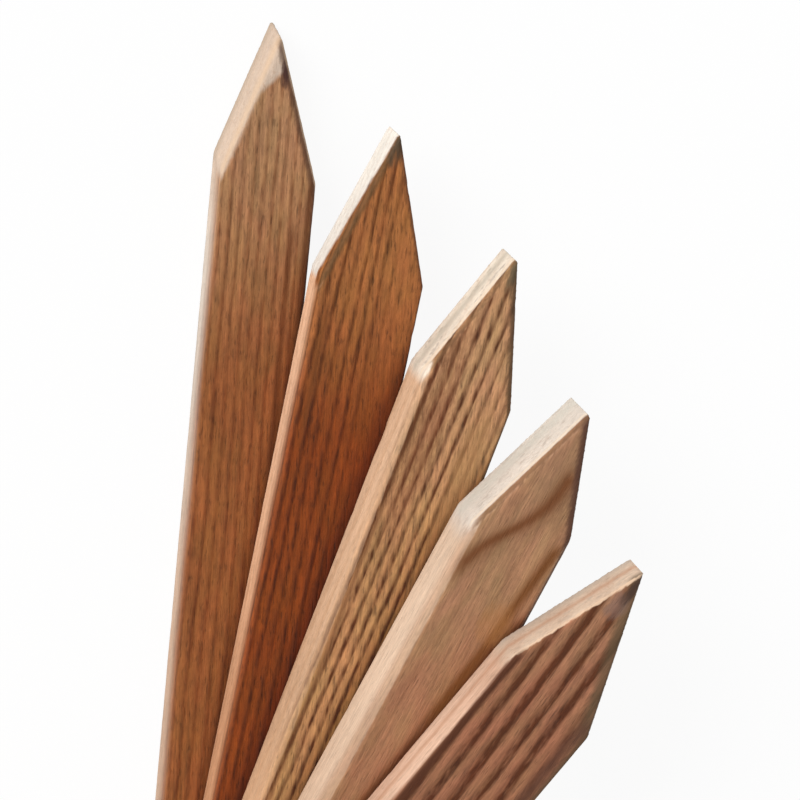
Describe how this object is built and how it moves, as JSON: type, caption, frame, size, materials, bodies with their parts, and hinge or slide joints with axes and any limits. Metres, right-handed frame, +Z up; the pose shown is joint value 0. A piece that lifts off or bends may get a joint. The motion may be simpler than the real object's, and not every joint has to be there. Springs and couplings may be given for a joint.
{
  "type": "wooden grade stakes",
  "caption": "Sawn softwood grade stakes with saw-cut points and square driving ends, laid flat in a fan, broad face on broad face, for marking levels and holding forms.",
  "frame": {"origin": "middle of the bottom stake's underside, where the pile rests on the ground", "axes": "+Y along the bottom stake towards its point, +Z up, +X to the side that the other points fan out to"},
  "size_m": [0.2808, 0.5589, 0.0967],
  "materials": {
    "brown_pine": "rough sawn, weathered medium brown, fine grain",
    "red_brown_pine": "rough sawn, reddish brown heartwood",
    "streaked_pine": "rough sawn, light brown with fine dark streaks",
    "pale_pine": "smooth sawn, pale tan with dark bands",
    "striped_pine": "rough sawn, reddish brown with broad dark growth bands"
  },
  "bodies": {
    "stake_1": {"stake_1": "brown_pine"},
    "stake_2": {"stake_2": "red_brown_pine"},
    "stake_3": {"stake_3": "streaked_pine"},
    "stake_4": {"stake_4": "pale_pine"},
    "stake_5": {"stake_5": "striped_pine"}
  },
  "joints": [
    {"name": "stake_2_lift", "type": "slide", "parent": "stake_1", "child": "stake_2", "axis": [0, 0, 1], "range_m": [0, 0.12]},
    {"name": "stake_3_lift", "type": "slide", "parent": "stake_2", "child": "stake_3", "axis": [0, 0, 1], "range_m": [0, 0.12]},
    {"name": "stake_4_lift", "type": "slide", "parent": "stake_3", "child": "stake_4", "axis": [0, 0, 1], "range_m": [0, 0.12]},
    {"name": "stake_5_lift", "type": "slide", "parent": "stake_4", "child": "stake_5", "axis": [0, 0, 1], "range_m": [0, 0.12]}
  ]
}
